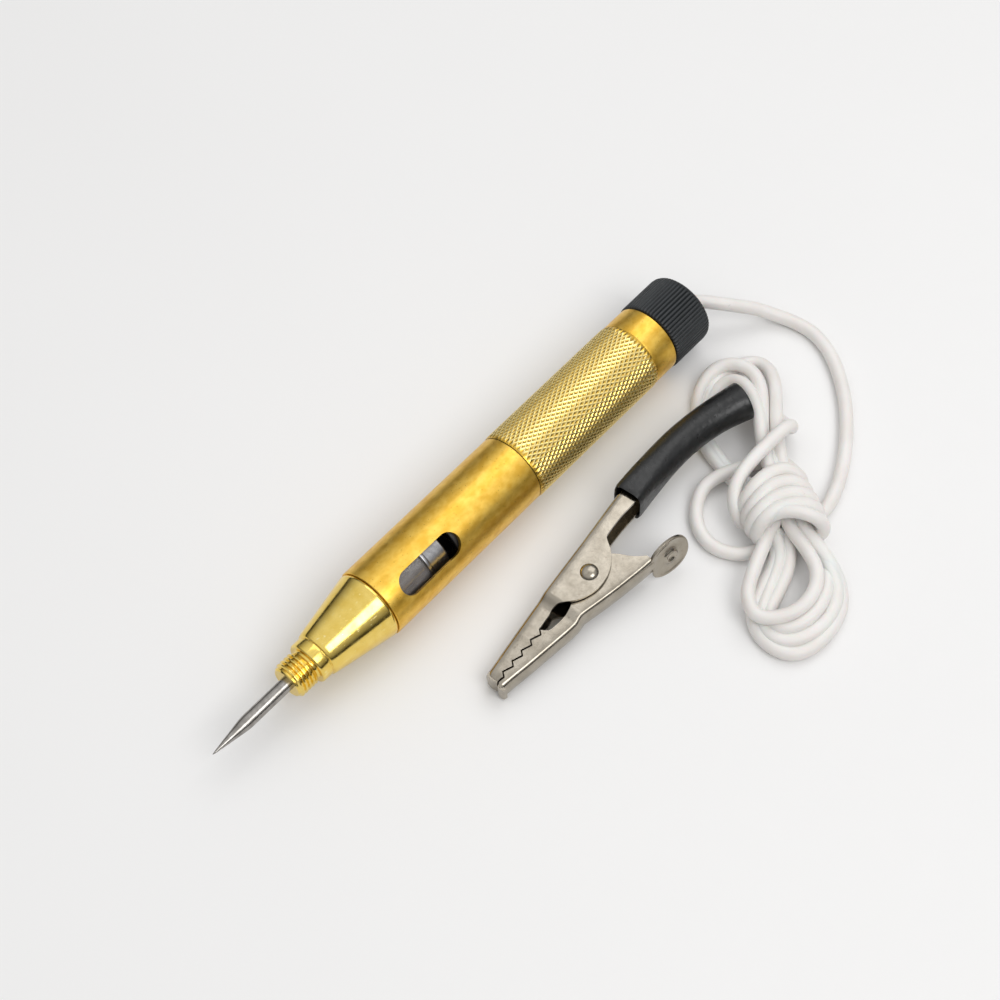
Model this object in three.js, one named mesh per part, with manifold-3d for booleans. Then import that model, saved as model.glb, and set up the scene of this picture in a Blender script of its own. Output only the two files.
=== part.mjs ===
// Automotive circuit tester (test lamp): brass barrel with a lamp behind a window, needle
// probe, screw cap, white lead tied in a hank, and a sprung crocodile clip.
// Units are millimetres. +X runs along the barrel towards the needle's tip, +Z is up, and
// z = 0 is the surface everything lies on. x = 0 is the middle of the tester.
import * as THREE from "three";
import { mergeVertices } from "three/addons/utils/BufferGeometryUtils.js";
import Module from "manifold-3d";

// ---- driving dimensions -------------------------------------------------------------
const AXIS_Z = 6.95; // height of the barrel's axis: it lies on the cap's ribs
const TIP_X = 60; // needle point
const REAR_X = -60; // back face of the cap
const SEAM_X = 22.9; // shoulder where the nose meets the barrel
const CAP_X = -50.3; // where the cap meets the barrel

const BARREL_R = 6.75;
const BORE_R = 5.9;
const KNURL_R = 6.9;
const KNURL_X = [-13.0, -44.8];

const WINDOW_X = [5.6, 19.5]; // ends of the window
const WINDOW_W = 4.6;
const WINDOW_TURN = 41; // degrees from straight up, towards +Y

const NEEDLE_R = 1.25;
const NEEDLE_TAPER = 7.6;
const BOSS_X = 42.9; // front face of the threaded boss
const THREAD_CREST_R = 3.35;
const THREAD_ROOT_R = 2.9;
const THREAD_PITCH = 0.8;
const THREAD_TURNS = 5;

const CAP_R = 6.95; // over the ribs
const CAP_RIBS = 54;
const RIB_DEPTH = 0.22;

const LAMP_R = 4.2;
const LAMP_CAP_R = 4.7;
const LAMP_X = [7.95, 26.4]; // over both end caps

const SPRING_X = [-11.6, 7.6];
const SPRING_R = 3.4;
const SPRING_TURNS = 7;

const CORD_R = 1.25;
const CORE_R = 0.6; // stranded copper inside the lead

const CLIP_PIVOT = [-6.2, 23.6, 4.02]; // middle of the rivet
const CLIP_TURN = 2.4; // degrees about +Z
const CLIP_DIP = 4.0; // degrees that the clip's mouth leans down to the surface
const PLATE = 0.5; // sheet thickness

const wasm = await Module();
wasm.setup();

// ---- materials ----------------------------------------------------------------------
const finish = (color, roughness, metalness, extra = {}) =>
  new THREE.MeshStandardMaterial({ color, roughness, metalness, ...extra });
const BRASS = finish(0xc9a03c, 0.35, 1);
const POLISHED_BRASS = finish(0xdab44e, 0.18, 1);
const STEEL = finish(0x9a978f, 0.25, 1);
const NICKEL = finish(0xb9b4a8, 0.22, 1);
const BLACK_PLASTIC = finish(0x15181c, 0.5, 0);
const BLACK_RUBBER = finish(0x17181a, 0.55, 0);
const WHITE_PVC = finish(0xe9e6e0, 0.45, 0);
const GLASS = finish(0xdfe6e6, 0.05, 0, { transparent: true, opacity: 0.35 });
const COPPER = finish(0xb5683a, 0.3, 1);
const FIBRE = finish(0x7a3f2a, 0.8, 0);

// ---- solids -------------------------------------------------------------------------
const root = new THREE.Group();
root.name = "circuit_tester";

// A manifold-3d solid from a closed geometry, turned outwards if it came inside out.
function solid(geometry) {
  const plain = new THREE.BufferGeometry().setAttribute(
    "position",
    (geometry.index ? geometry.toNonIndexed() : geometry).getAttribute("position"),
  );
  const merged = mergeVertices(plain, 1e-4);
  const source = merged.index.array;
  const faces = [];
  for (let i = 0; i < source.length; i += 3) {
    const [a, b, c] = [source[i], source[i + 1], source[i + 2]];
    if (a !== b && b !== c && c !== a) faces.push(a, b, c);
  }
  const vertProperties = new Float32Array(merged.attributes.position.array);
  const build = (triVerts) =>
    new wasm.Manifold(new wasm.Mesh({ numProp: 3, vertProperties, triVerts }));
  const made = build(new Uint32Array(faces));
  if (made.volume() > 0) return made;
  for (let i = 0; i < faces.length; i += 3)
    [faces[i + 1], faces[i + 2]] = [faces[i + 2], faces[i + 1]];
  return build(new Uint32Array(faces));
}

function geometryOf(body) {
  const { vertProperties, triVerts, numProp } = body.getMesh();
  const points = new Float32Array(triVerts.length * 3);
  triVerts.forEach((v, i) => {
    for (let k = 0; k < 3; k++) points[3 * i + k] = vertProperties[numProp * v + k];
  });
  const geometry = new THREE.BufferGeometry();
  geometry.setAttribute("position", new THREE.BufferAttribute(points, 3));
  geometry.computeVertexNormals();
  return geometry;
}

function piece(name, body, material, parent = root) {
  const mesh = new THREE.Mesh(geometryOf(body), material);
  mesh.name = name;
  parent.add(mesh);
  return mesh;
}

// A body turned about the barrel's axis; the profile is a list of [x, radius].
function turned(profile, segments = 48) {
  const closed = profile.every(([, r]) => r > 0);
  const loop = closed ? [...profile, profile[0]] : profile;
  const lathe = new THREE.LatheGeometry(
    loop.map(([x, r]) => new THREE.Vector2(r, x)),
    segments,
  );
  lathe.rotateZ(-Math.PI / 2);
  lathe.translate(0, 0, AXIS_Z);
  return solid(lathe);
}

const ring = (x0, x1, rIn, rOut, segments) =>
  turned([[x0, rIn], [x1, rIn], [x1, rOut], [x0, rOut]], segments);
const disc = (x0, x1, r, segments) =>
  turned([[x0, 0], [x0, r], [x1, r], [x1, 0]], segments);

// A flat outline pushed up along +Z.
function prism(outline, z0, z1) {
  const shape = new THREE.Shape(outline.map(([x, y]) => new THREE.Vector2(x, y)));
  const depth = z1 - z0;
  return solid(
    new THREE.ExtrudeGeometry(shape, { depth, bevelEnabled: false }).translate(0, 0, z0),
  );
}

const circle = (r, sides) =>
  Array.from({ length: sides }, (_, i) => {
    const t = (2 * Math.PI * i) / sides;
    return [r * Math.cos(t), r * Math.sin(t)];
  });

// A round bar along a smooth curve through the points.
function bar(points, r, sides, steps) {
  const path = new THREE.CatmullRomCurve3(
    points.map((p) => new THREE.Vector3(...p)),
    false,
    "centripetal",
  );
  const shape = new THREE.Shape(circle(r, sides).map(([x, y]) => new THREE.Vector2(x, y)));
  return solid(new THREE.ExtrudeGeometry(shape, { steps, extrudePath: path }));
}

// A skin through sections of equally many points, closed at both ends.
function loft(sections, endOutline) {
  const n = sections[0].length;
  const position = [];
  const put = (p) => position.push(p[0], p[1], p[2]);
  for (let s = 0; s + 1 < sections.length; s++)
    for (let i = 0; i < n; i++) {
      const [a, b] = [sections[s][i], sections[s][(i + 1) % n]];
      const [c, d] = [sections[s + 1][i], sections[s + 1][(i + 1) % n]];
      [a, b, d, a, d, c].forEach(put);
    }
  const flat = (which) => which.map(([x, y]) => new THREE.Vector2(x, y));
  const caps = [
    [sections[0], endOutline[0], false],
    [sections.at(-1), endOutline[1], true],
  ];
  for (const [section, outline, last] of caps) {
    const keep = last === (THREE.ShapeUtils.area(flat(outline)) > 0);
    for (const [a, b, c] of THREE.ShapeUtils.triangulateShape(flat(outline), []))
      (keep ? [a, b, c] : [a, c, b]).forEach((i) => put(section[i]));
  }
  const geometry = new THREE.BufferGeometry();
  geometry.setAttribute("position", new THREE.Float32BufferAttribute(position, 3));
  return solid(geometry);
}

const smooth = (points, count, closed = true) =>
  new THREE.CatmullRomCurve3(
    points.map(([x, y]) => new THREE.Vector3(x, y, 0)),
    closed,
    "centripetal",
  )
    .getPoints(count)
    .slice(0, closed ? count : count + 1)
    .map((p) => [p.x, p.y]);

// ---- probe and nose -----------------------------------------------------------------
piece(
  "probe_needle",
  turned(
    [
      [28.2, 0],
      [28.2, NEEDLE_R],
      [TIP_X - NEEDLE_TAPER, NEEDLE_R],
      [TIP_X - 1.0, 0.24],
      [TIP_X - 0.15, 0.1],
      [TIP_X, 0],
    ],
    32,
  ),
  STEEL,
);

const threadProfile = [];
for (let i = 0; i < THREAD_TURNS; i++) {
  const x = BOSS_X - 0.15 - i * THREAD_PITCH;
  threadProfile.push(
    [x - 0.3, THREAD_CREST_R],
    [x - 0.46, THREAD_CREST_R],
    [x - 0.76, THREAD_ROOT_R],
  );
}
const noseProfile = [
  [BOSS_X, NEEDLE_R + 0.02],
  [BOSS_X, THREAD_ROOT_R],
  ...threadProfile,
  [38.55, THREAD_ROOT_R],
  [38.45, THREAD_CREST_R + 0.05],
  [38.2, THREAD_CREST_R + 0.05],
  [38.2, 3.75],
  [37.95, 4.0],
  [36.2, 4.0],
  [35.9, 4.25],
  [SEAM_X + 0.35, BARREL_R - 0.12],
  [SEAM_X + 0.1, BARREL_R - 0.3],
  [SEAM_X + 0.1, 5.6],
  [19.8, 5.6],
  [19.8, 5.0],
  [28.6, 5.0],
  [28.6, 3.4],
  [29.6, 3.4],
  [29.6, NEEDLE_R + 0.02],
];
piece("nose_cone", turned(noseProfile, 36), POLISHED_BRASS);
piece(
  "front_contact",
  turned([[26.7, 0], [26.7, 2.4], [27.0, 3.0], [27.9, 3.0], [27.9, 0]], 32),
  BRASS,
);

// ---- barrel -------------------------------------------------------------------------
const barrelSkin = turned(
  [
    [SEAM_X, BORE_R],
    [SEAM_X, BARREL_R - 0.3],
    [SEAM_X - 0.3, BARREL_R],
    [KNURL_X[0] + 0.25, BARREL_R],
    [KNURL_X[0], KNURL_R],
    [KNURL_X[1], KNURL_R],
    [KNURL_X[1] - 0.25, BARREL_R],
    [CAP_X + 0.3, BARREL_R],
    [CAP_X + 0.1, BARREL_R - 0.2],
    [CAP_X + 0.1, BORE_R],
  ],
  48,
);
const windowLength = WINDOW_X[1] - WINDOW_X[0];
const windowOutline = [];
for (const [cx, from] of [[windowLength - WINDOW_W, -90], [0, 90]])
  for (let k = 0; k <= 10; k++) {
    const t = ((from + 18 * k) * Math.PI) / 180;
    windowOutline.push([cx + (WINDOW_W / 2) * Math.cos(t), (WINDOW_W / 2) * Math.sin(t)]);
  }
const windowCut = prism(windowOutline, 3.5, 9)
  .translate([WINDOW_X[0] + WINDOW_W / 2, 0, 0])
  .rotate([-WINDOW_TURN, 0, 0])
  .translate([0, 0, AXIS_Z]);
piece("barrel", barrelSkin.subtract(windowCut), BRASS);

// ---- lamp ---------------------------------------------------------------------------
const [lampRear, lampFront] = LAMP_X;
piece("lamp_glass", ring(lampRear + 0.85, lampFront - 0.85, LAMP_R - 0.55, LAMP_R, 28), GLASS);
piece(
  "lamp_rear_cap",
  turned(
    [
      [lampRear, 0],
      [lampRear, LAMP_CAP_R - 0.25],
      [lampRear + 0.25, LAMP_CAP_R],
      [12.1, LAMP_CAP_R],
      [12.1, 4.85],
      [12.5, 4.85],
      [12.5, LAMP_R + 0.15],
      [lampRear + 0.55, LAMP_R + 0.15],
      [lampRear + 0.55, 0],
    ],
    28,
  ),
  NICKEL,
);
piece(
  "lamp_front_cap",
  turned(
    [
      [lampFront, 0],
      [lampFront, 1.4],
      [lampFront - 0.5, 1.9],
      [lampFront - 0.5, LAMP_CAP_R - 0.2],
      [lampFront - 0.7, LAMP_CAP_R],
      [21.9, LAMP_CAP_R],
      [21.9, LAMP_R + 0.15],
      [lampFront - 0.75, LAMP_R + 0.15],
      [lampFront - 0.75, 0],
    ],
    28,
  ),
  NICKEL,
);
// The filament: a fine coil hung between two stiff leads.
const coil = (x0, x1, r, turns, perTurn) =>
  Array.from({ length: turns * perTurn + 1 }, (_, i) => {
    const t = (2 * Math.PI * i) / perTurn;
    const x = x0 + ((x1 - x0) * i) / (turns * perTurn);
    return [x, r * Math.sin(t), AXIS_Z + r * Math.cos(t)];
  });
piece("lamp_filament", bar(coil(14.6, 18.4, 0.55, 5, 8), 0.12, 4, 40), STEEL);
const lampLead = (from, bend, to) =>
  bar([[from, 0, AXIS_Z], [bend, 0.5, AXIS_Z], [to, 0, AXIS_Z]], 0.2, 6, 8);
piece("lamp_lead_rear", lampLead(lampRear + 0.95, 11.8, 14.1), NICKEL);
piece("lamp_lead_front", lampLead(lampFront - 1.2, 21.8, 18.9), NICKEL);

// ---- inside the barrel --------------------------------------------------------------
piece(
  "insulating_liner",
  turned(
    [
      [6.3, 5.05],
      [6.3, 5.6],
      [-20, 5.6],
      [-20, 2.6],
      [-13.6, 2.6],
      [-13.6, 5.05],
    ],
    32,
  ),
  BLACK_PLASTIC,
);
piece(
  "contact_spring",
  bar(coil(SPRING_X[0] + 0.45, SPRING_X[1] - 0.1, SPRING_R, SPRING_TURNS, 12), 0.35, 5, 77),
  STEEL,
);
piece(
  "rear_contact",
  turned([[-12.2, 0], [-12.2, 4.6], [-13.3, 4.6], [-13.3, 1.3], [-18.5, 1.3], [-18.5, 0.75],
    [-14.2, 0.75], [-14.2, 0]], 28),
  BRASS,
);
piece("lead_core", disc(-21.6, -14.5, CORE_R, 12), COPPER);
piece(
  "cord_ferrule",
  turned([[-52.6, CORD_R + 0.05], [-52.6, 1.9], [-52.9, 2.2], [-54.1, 2.2], [-54.4, 1.9],
    [-54.4, CORD_R + 0.05]], 24),
  NICKEL,
);

// ---- screw cap ----------------------------------------------------------------------
const ribs = [];
for (let i = 0; i < CAP_RIBS; i++)
  for (const [f, rise] of [[0, 0], [0.2, 0], [0.42, RIB_DEPTH], [0.78, RIB_DEPTH]]) {
    const r = CAP_R - RIB_DEPTH + rise;
    const t = (2 * Math.PI * (i + f)) / CAP_RIBS;
    ribs.push([r * Math.cos(t), r * Math.sin(t)]);
  }
const ribbed = prism(ribs, REAR_X - 1, CAP_X + 1)
  .rotate([0, 90, 0])
  .translate([0, 0, AXIS_Z]);
const capEnvelope = turned(
  [
    [CAP_X, 0],
    [CAP_X, 6.6],
    [CAP_X - 0.25, CAP_R + 0.1],
    [REAR_X + 1.1, CAP_R + 0.1],
    [REAR_X + 0.45, CAP_R - 0.3],
    [REAR_X + 0.12, CAP_R - 0.75],
    [REAR_X, CAP_R - 1.3],
    [REAR_X, 0],
  ],
  48,
);
const capSpigot = disc(CAP_X - 0.5, -44.6, 5.6, 40);
const capHollow = turned(
  [
    [-43, 0],
    [-43, 4.3],
    [-57.2, 4.3],
    [-57.2, CORD_R + 0.35],
    [REAR_X - 1, CORD_R + 0.35],
    [REAR_X - 1, 0],
  ],
  40,
);
piece("end_cap", ribbed.intersect(capEnvelope).add(capSpigot).subtract(capHollow), BLACK_PLASTIC);
piece("cap_washer", ring(-57.1, -56.2, CORD_R + 0.45, 3.95, 36), FIBRE);

// ---- crocodile clip -----------------------------------------------------------------
// The clip is drawn flat in its own frame: u towards the mouth, v across, w along the rivet.
const clip = new THREE.Group();
clip.name = "clip";
clip.position.set(...CLIP_PIVOT);
clip.rotation.order = "ZYX";
clip.rotation.z = THREE.MathUtils.degToRad(CLIP_TURN);
clip.rotation.y = THREE.MathUtils.degToRad(CLIP_DIP);
root.add(clip);

const between = (table, u) => {
  if (u >= table[0][0]) return table[0][1];
  for (let i = 0; i + 1 < table.length; i++) {
    const [[u0, v0], [u1, v1]] = [table[i], table[i + 1]];
    if (u <= u0 && u >= u1) return v0 + ((v1 - v0) * (u0 - u)) / (u0 - u1);
  }
  return table.at(-1)[1];
};

// A folded channel: its spine runs along `back`, its two side plates reach to `edge`.
// side is +1 when the spine is on the +v side. half is half the width over the plates.
function channel(stations, back, edge, half, side) {
  const sections = [];
  const outlines = [];
  for (const u of stations) {
    const [b, e, h] = [between(back, u), between(edge, u), between(half, u)];
    const bend = Math.min(0.7, Math.abs(b - e) - 0.3); // the fold
    const bulge = 0.25 + 0.06 * h;
    const outer = [
      [e, h],
      [b - side * bend, h],
      [b - side * 0.2, h - 0.25],
      [b + side * bulge * 0.6, h * 0.55],
      [b + side * bulge, 0],
      [b + side * bulge * 0.6, -h * 0.55],
      [b - side * 0.2, -h + 0.25],
      [b - side * bend, -h],
      [e, -h],
    ];
    const inner = [
      [e, -h + PLATE],
      [b - side * (bend + 0.1), -h + PLATE],
      [b - side * (PLATE + 0.05), -h + PLATE + 0.3],
      [b + side * (bulge - PLATE), 0],
      [b - side * (PLATE + 0.05), h - PLATE - 0.3],
      [b - side * (bend + 0.1), h - PLATE],
      [e, h - PLATE],
    ];
    const outline = [...outer, ...inner];
    sections.push(outline.map(([v, w]) => [u, v, w]));
    outlines.push(outline);
  }
  return loft(sections, [outlines[0], outlines.at(-1)]);
}

// Saw teeth along the mouth, shared by both jaws with a gap between them.
const TEETH = [];
for (let i = 0; i < 5; i++) TEETH.push([23.6 - 2.45 * i, 0.3], [22.95 - 2.45 * i, -0.45]);
const toothLine = (shift) => TEETH.map(([u, v]) => [u, v + shift]);

const fixedBack = [[24.8, -1.9], [24.3, -2.2], [20.3, -3.1], [15.9, -3.6], [11.3, -3.75],
  [9.1, -3.8], [7.6, -3.85], [2.8, -4.2], [-3.2, -4.6], [-9.4, -5.1], [-15.4, -5.6],
  [-21, -5.5], [-24.5, -5.3]];
const fixedEdge = [[24.8, 0.05], ...toothLine(0), [12.4, -0.4], [11.6, -0.55], [10, -0.65],
  [9.1, -1.0], [7.9, -0.7], [7.5, -0.4], [6.9, 0.2], [6.3, 0.8], [5.7, 1.35], [5.0, 1.85],
  [4.1, 2.3], [3.2, 2.65], [2.2, 2.95], [1.1, 3.1], [0.2, 3.1], [-0.8, 2.95], [-1.6, 2.8],
  [-2.4, 2.5], [-3.3, 2.1], [-4.1, 1.6], [-5.0, 0.9], [-5.8, 0.1], [-6.3, -0.7],
  [-6.7, -1.35], [-7.2, -1.9], [-9, -2.1], [-12, -2.25], [-16.7, -2.1], [-21, -2.6],
  [-24.5, -2.9]];
const fixedHalf = [[24.8, 1.7], [24.3, 2.2], [9.1, 2.2], [7.5, 3.2], [-12, 3.2],
  [-15.4, 3.0], [-18, 2.6], [-20.5, 1.9], [-24.5, 1.6]];
const stationsOf = (...tables) =>
  [...new Set(tables.flatMap((t) => t.map(([u]) => u)))].sort((a, b) => b - a);

// w-axis cylinder of the clip frame
const pin = (r, w0, w1, u = 0, v = 0, sides = 32) =>
  prism(circle(r, sides), w0, w1).translate([u, v, 0]);

const RIVET_R = 1.15;
const fixedStations = stationsOf(fixedBack, fixedEdge, fixedHalf);
const fixedBody = channel(fixedStations, fixedBack, fixedEdge, fixedHalf, -1)
  .add(prism([[24.25, -2.25], [24.25, 0.0], [24.8, 0.05], [24.8, -1.9]], -1.6, 1.6))
  .subtract(pin(RIVET_R + 0.02, -5, 5));
piece("clip_fixed_jaw", fixedBody, NICKEL, clip);

const movingBack = [[25.4, 1.5], [25.0, 1.6], [23.1, 1.85], [19.3, 2.55], [14.8, 3.25],
  [10.3, 3.95], [8.4, 4.15], [7.4, 3.95], [6.6, 3.9], [5.3, 4.2], [2.2, 4.95], [-1, 5.65],
  [-5.5, 6.5], [-8.3, 6.95], [-8.8, 7.05]];
const GAP = 0.35;
const movingEdge = [[25.4, 0.75], [24.8, 0.05 + GAP], ...toothLine(GAP), [12.4, 1.15],
  [10.5, 1.45], [9.1, 1.55], [8.3, 1.55], [6.9, 1.3], [6.1, 1.0], [5.2, 0.1], [4.3, -0.9],
  [3.4, -1.9], [2.4, -2.6], [1.2, -3.0], [0, -3.15], [-1.2, -3.0], [-2.2, -2.6], [-3.2, -1.9],
  [-4.1, -0.9], [-4.9, 0.0], [-5.6, 0.8], [-6.3, 1.8], [-6.9, 3.3], [-7.9, 4.6], [-8.8, 5.6]];
const movingHalf = [[25.4, 1.8], [25.0, 2.2], [8.4, 2.2], [7.2, 2.4], [-8.8, 2.4]];
// The thumb pad: a plate with a round end and a dimple, carried on from the spine.
const padOutline = smooth(
  [[-8.2, 2.2], [-10, 3.6], [-12.6, 3.95], [-15.2, 3.0], [-16.3, 0], [-15.2, -3.0],
    [-12.6, -3.95], [-10, -3.6], [-8.2, -2.2]],
  28,
  false,
);
const PAD_TURN = 11; // degrees that the pad flares away from the handle
const padPlate = prism(padOutline, 0, PLATE)
  .add(pin(1.5, -0.35, 0.2, -12.2, 0, 20))
  .subtract(pin(1.0, 0.1, 1.0, -12.2, 0, 20))
  .translate([8.2, 0, 0])
  .rotate([90, 0, 0])
  .rotate([0, 0, -PAD_TURN])
  .translate([-8.2, 7.35, 0]);
const COIL_R = 2.15; // the torsion spring
const COIL_WIRE_R = 0.32;
const movingStations = stationsOf(movingBack, movingEdge, movingHalf);
const movingBody = channel(movingStations, movingBack, movingEdge, movingHalf, 1)
  .add(padPlate)
  .add(prism([[25.0, 0.45], [25.4, 0.75], [25.4, 1.75], [24.95, 1.85]], -1.6, 1.6))
  .subtract(pin(RIVET_R + 0.3, -5, 5));
piece("clip_moving_jaw", movingBody, NICKEL, clip);

// The rivet: a shank with a domed head at each end, turned along w.
const rivetProfile = [[-3.95, 0], [-3.9, 0.6], [-3.72, 1.15], [-3.45, 1.5], [-3.22, 1.6],
  [-3.22, RIVET_R], [3.22, RIVET_R], [3.22, 1.6], [3.45, 1.5], [3.72, 1.15], [3.9, 0.6], [3.95, 0]];
const rivet = new THREE.LatheGeometry(rivetProfile.map(([w, r]) => new THREE.Vector2(r, w)), 24);
rivet.rotateX(Math.PI / 2);
piece("clip_rivet", solid(rivet), NICKEL, clip);

// The torsion spring: coils round the rivet, one leg along each spine.
const coilPath = [];
for (let i = 0; i <= 35; i++) {
  const t = Math.PI / 2 - (2 * Math.PI * i) / 14;
  coilPath.push([COIL_R * Math.cos(t), COIL_R * Math.sin(t), 1.2 - 0.0686 * i]);
}
const legOut = [[-8.2, 5.8, 1.25], [-4.6, 4.2, 1.25], [-1.7, 2.6, 1.22]];
const legIn = [[-3.0, -2.5, -1.22], [-8.5, -3.7, -1.25]];
piece("clip_spring", bar([...legOut, ...coilPath, ...legIn], COIL_WIRE_R, 5, 60), STEEL, clip);

// ---- sleeve over the clip's handle --------------------------------------------------
// Rings along the sleeve's centre line: [x, y, z, half width, half height, squareness].
// It is stretched over the channel at its mouth and round from there on.
const SLEEVE = [
  [-21.9, 18.85, 5.14, 2.85, 4.0, 4.0],
  [-25.5, 18.5, 5.3, 2.9, 3.8, 3.4],
  [-29.0, 18.25, 5.4, 3.0, 3.4, 2.6],
  [-32.5, 18.05, 5.45, 3.1, 3.15, 2],
  [-36.0, 18.0, 5.5, 3.1, 3.1, 2],
  [-39.5, 18.2, 5.55, 3.1, 3.1, 2],
  [-43.0, 18.65, 5.6, 3.15, 3.1, 2],
  [-46.5, 19.4, 5.7, 3.25, 3.15, 2],
  [-49.3, 20.25, 5.85, 3.45, 3.35, 2],
  [-51.5, 21.0, 6.0, 3.65, 3.5, 2],
];
function sleeveSkin(shrink, overrun) {
  const sides = 20;
  const line = SLEEVE.map(([x, y, z]) => new THREE.Vector3(x, y, z));
  const sections = line.map((p, i) => {
    const ahead = line[Math.min(i + 1, line.length - 1)];
    const behind = line[Math.max(i - 1, 0)];
    const along = ahead.clone().sub(behind).normalize();
    const across = new THREE.Vector3(0, 0, 1).cross(along).normalize();
    const up = along.clone().cross(across);
    const push = i === 0 ? -overrun : i === line.length - 1 ? overrun : 0;
    const middle = p.clone().addScaledVector(along, push);
    const [a, b] = [SLEEVE[i][3] - shrink, SLEEVE[i][4] - shrink];
    const full = (value) => Math.sign(value) * Math.abs(value) ** (2 / SLEEVE[i][5]);
    return circle(1, sides).map(([c, s]) => {
      const q = middle
        .clone()
        .addScaledVector(across, a * full(c))
        .addScaledVector(up, b * full(s));
      return [q.x, q.y, q.z];
    });
  });
  return loft(sections, [circle(1, sides), circle(1, sides)]);
}
piece("clip_sleeve", sleeveSkin(0, 0).subtract(sleeveSkin(0.5, 0.4)), BLACK_RUBBER);

// ---- the lead -----------------------------------------------------------------------
piece(
  "cord_run",
  bar(
    [
      [-22.2, 0, 6.95], [-30, 0, 6.95], [-40, 0, 6.95], [-50, 0, 6.95], [-56, 0, 6.95],
      [-60.2, 0.05, 6.95], [-62.6, 1.3, 6.85], [-64.6, 3.7, 6.5], [-67.6, 6.6, 5.2],
      [-70.8, 9.4, 3.4], [-73, 12.4, 1.9], [-74.4, 15.9, 1.3], [-74.7, 19.6, 1.25],
      [-73.6, 23.6, 1.25], [-71, 28, 1.25], [-67.4, 32.2, 1.25], [-63.1, 36, 1.25],
      [-58.4, 39.3, 1.25], [-54.1, 41.7, 1.25], [-50, 43.4, 1.25],
    ],
    CORD_R,
    8,
    46,
  ),
  WHITE_PVC,
);

// The tied hank: a low sheet under the loops, thicker where the turns are wrapped.
const hankOutline = smooth(
  [
    [-46.5, 12.2], [-53, 10.2], [-60, 11.4], [-64.6, 15.2], [-64.5, 20.2], [-61, 24.8],
    [-55.5, 29.6], [-50.8, 34], [-49.6, 39], [-46.9, 44], [-42.6, 48.2], [-40, 52.6],
    [-37, 57], [-32.4, 60.2], [-26, 60.8], [-20, 59.4], [-17, 55.4], [-17, 50], [-19.5, 45],
    [-24.5, 41.8], [-26, 37], [-25.6, 32], [-27.5, 28], [-31, 25.2], [-35, 23.6],
    [-38.5, 22.8], [-41.6, 19.6], [-43.6, 15.4],
  ],
  72,
);
const ellipse = (cx, cy, a, b, turn, sides = 28) =>
  circle(1, sides).map(([c, s]) => {
    const t = (turn * Math.PI) / 180;
    const [p, q] = [a * c, b * s];
    return [cx + p * Math.cos(t) - q * Math.sin(t), cy + p * Math.sin(t) + q * Math.cos(t)];
  });
const hank = prism(hankOutline, 0, 2.35)
  .add(prism(ellipse(-27.6, 51, 10.2, 8.6, -20), 1, 4.8))
  .add(prism(ellipse(-44.5, 33.4, 6.4, 5.6, 45), 1, 5.2))
  .add(prism(ellipse(-39.2, 39.2, 8.2, 7.0, -45), 1, 6.4))
  .add(prism(ellipse(-39.2, 39.2, 6.4, 5.2, -45), 1, 8.4));
piece("cord_hank", hank, WHITE_PVC);
piece(
  "cord_tail",
  bar(
    [[-44.5, 19, 5.7], [-48.5, 20.1, 5.7], [-52.2, 21.6, 5.4], [-54.6, 23.4, 4.8],
      [-55.6, 26, 4.2], [-54.4, 28.4, 4.0], [-51.2, 29.4, 4.0]],
    CORD_R,
    8,
    18,
  ),
  WHITE_PVC,
);
const coreLine = [[-44.2, 18.9, 5.6], [-36, 18.2, 5.4], [-30.2, 19.6, 5.6]];
piece("clip_wire_core", bar(coreLine, CORE_R, 8, 12), COPPER);

export default root;
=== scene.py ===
# Looks for a brass circuit tester with a needle probe, a white lead in a tied hank and a
# sprung crocodile clip. Lengths are in millimetres until they reach a mesh or an object.
import math

import bmesh
import bpy
import numpy as np
from mathutils import Euler, Matrix, Vector


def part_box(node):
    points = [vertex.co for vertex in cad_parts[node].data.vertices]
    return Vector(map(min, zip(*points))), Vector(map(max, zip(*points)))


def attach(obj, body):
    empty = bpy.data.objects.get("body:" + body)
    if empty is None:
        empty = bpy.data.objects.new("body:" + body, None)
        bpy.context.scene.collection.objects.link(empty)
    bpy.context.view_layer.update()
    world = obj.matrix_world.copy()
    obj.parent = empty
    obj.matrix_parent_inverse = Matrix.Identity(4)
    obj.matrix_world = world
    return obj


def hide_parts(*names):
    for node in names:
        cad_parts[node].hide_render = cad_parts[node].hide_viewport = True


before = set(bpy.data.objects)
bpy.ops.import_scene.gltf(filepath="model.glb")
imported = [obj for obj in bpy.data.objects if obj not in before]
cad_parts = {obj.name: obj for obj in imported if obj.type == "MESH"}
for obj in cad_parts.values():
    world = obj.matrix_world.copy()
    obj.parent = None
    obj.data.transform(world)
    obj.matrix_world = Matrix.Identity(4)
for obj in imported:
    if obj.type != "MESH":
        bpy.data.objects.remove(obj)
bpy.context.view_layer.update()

MM = 0.001

# ---- driving dimensions: the bodies' are the CAD's, the surface detail's are set here ----
cap_low, cap_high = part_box("end_cap")
AXIS_Z = (cap_low.z + cap_high.z) / 2 / MM  # height of the barrel's axis
TIP_X = 60.0
REAR_X = -60.0
SEAM_X = 22.9
CAP_X = -50.3
BARREL_R, BORE_R = 6.75, 5.9
KNURL_X = (-44.8, -13.0)
KNURL_CREST, KNURL_ROOT = 6.92, 6.75
KNURL_STARTS = 50
KNURL_PITCH = 1.5
WINDOW_X = (5.6, 19.5)
WINDOW_W = 4.6
WINDOW_TURN = 41.0  # degrees from straight up, towards +Y
NEEDLE_R, NEEDLE_TAPER = 1.25, 7.6
BOSS_X = 42.9
THREAD_CREST, THREAD_ROOT, THREAD_PITCH = 3.35, 2.9, 0.8
CAP_R, CAP_RIBS, RIB_DEPTH = 6.95, 60, 0.22
LAMP_R, LAMP_CAP_R = 4.2, 4.7
LAMP_X = (7.95, 26.4)
CORD_R = 1.25
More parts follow.
